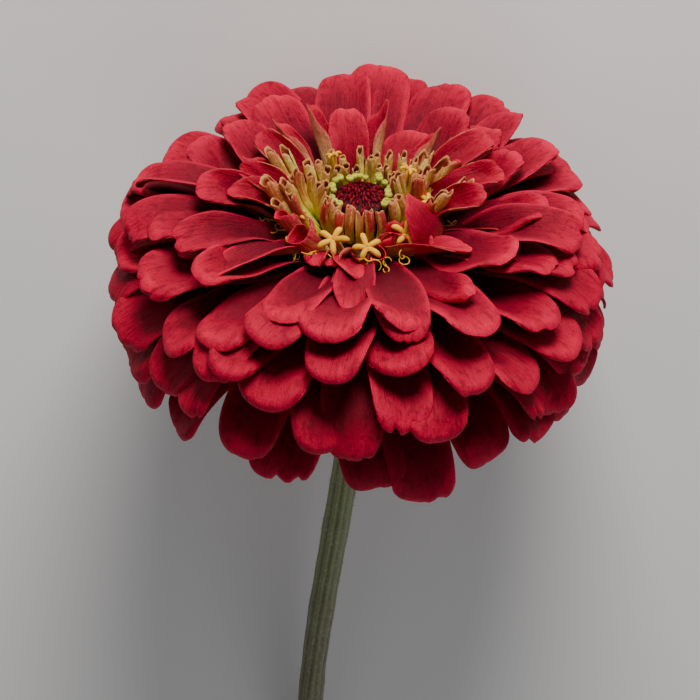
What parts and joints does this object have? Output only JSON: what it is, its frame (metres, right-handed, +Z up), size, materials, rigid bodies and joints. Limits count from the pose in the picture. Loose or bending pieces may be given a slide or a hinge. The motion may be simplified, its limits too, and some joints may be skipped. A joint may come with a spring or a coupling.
{
  "type": "zinnia flower",
  "caption": "Double crimson zinnia bloom, cut with a length of stem and lying on its side: domed rows of rounded rays around a gold and maroon centre.",
  "frame": {"origin": "middle of the lying flower's bounding box, on the surface it lies on", "axes": "+Z up from the surface, +Y from the cut stem end towards the bloom's face, +X to the right when looking along +Y"},
  "size_m": [0.0988, 0.1815, 0.0936],
  "materials": {
    "stem": "satin",
    "receptacle": "matte",
    "bracts": "satin",
    "chaff": "matte",
    "buds": "satin",
    "open_disc_florets": "satin",
    "rolled_florets": "matte",
    "young_rays": "matte",
    "ray_florets": "matte"
  },
  "bodies": {
    "root": {"stem": "stem", "receptacle": "receptacle", "involucre_bracts": "bracts", "chaff_disc": "chaff", "disc_floret_buds": "buds", "disc_floret_left": "open_disc_florets", "disc_floret_middle": "open_disc_florets", "disc_floret_right": "open_disc_florets", "rolled_florets_inner": "rolled_florets", "rolled_florets_outer": "rolled_florets", "young_rays_left": "young_rays", "young_rays_right": "young_rays", "ray_pair_1a": "ray_florets", "ray_pair_1b": "ray_florets", "ray_pair_1c": "ray_florets", "ray_pair_1d": "ray_florets", "ray_pair_1e": "ray_florets", "ray_pair_1f": "ray_florets", "ray_pair_2a": "ray_florets", "ray_pair_2b": "ray_florets", "ray_pair_2c": "ray_florets", "ray_pair_2d": "ray_florets", "ray_pair_2e": "ray_florets", "ray_pair_2f": "ray_florets", "ray_pair_3a": "ray_florets", "ray_pair_3b": "ray_florets", "ray_pair_3c": "ray_florets", "ray_pair_3d": "ray_florets", "ray_pair_3e": "ray_florets", "ray_pair_3f": "ray_florets", "ray_pair_4a": "ray_florets", "ray_pair_4b": "ray_florets", "ray_pair_4c": "ray_florets", "ray_pair_4d": "ray_florets", "ray_pair_4e": "ray_florets", "ray_pair_4f": "ray_florets", "ray_pair_5a": "ray_florets", "ray_pair_5b": "ray_florets", "ray_pair_5c": "ray_florets", "ray_pair_5d": "ray_florets", "ray_pair_5e": "ray_florets", "ray_pair_5f": "ray_florets", "ray_pair_6a": "ray_florets", "ray_pair_6b": "ray_florets", "ray_pair_6c": "ray_florets", "ray_pair_6d": "ray_florets", "ray_pair_6e": "ray_florets", "ray_pair_6f": "ray_florets", "ray_pair_7a": "ray_florets", "ray_pair_7b": "ray_florets", "ray_pair_7c": "ray_florets", "ray_pair_7d": "ray_florets", "ray_pair_7e": "ray_florets", "ray_pair_7f": "ray_florets", "ray_pair_8a": "ray_florets", "ray_pair_8b": "ray_florets", "ray_pair_8c": "ray_florets", "ray_pair_8d": "ray_florets", "ray_pair_8e": "ray_florets", "ray_pair_8f": "ray_florets"}
  },
  "joints": []
}
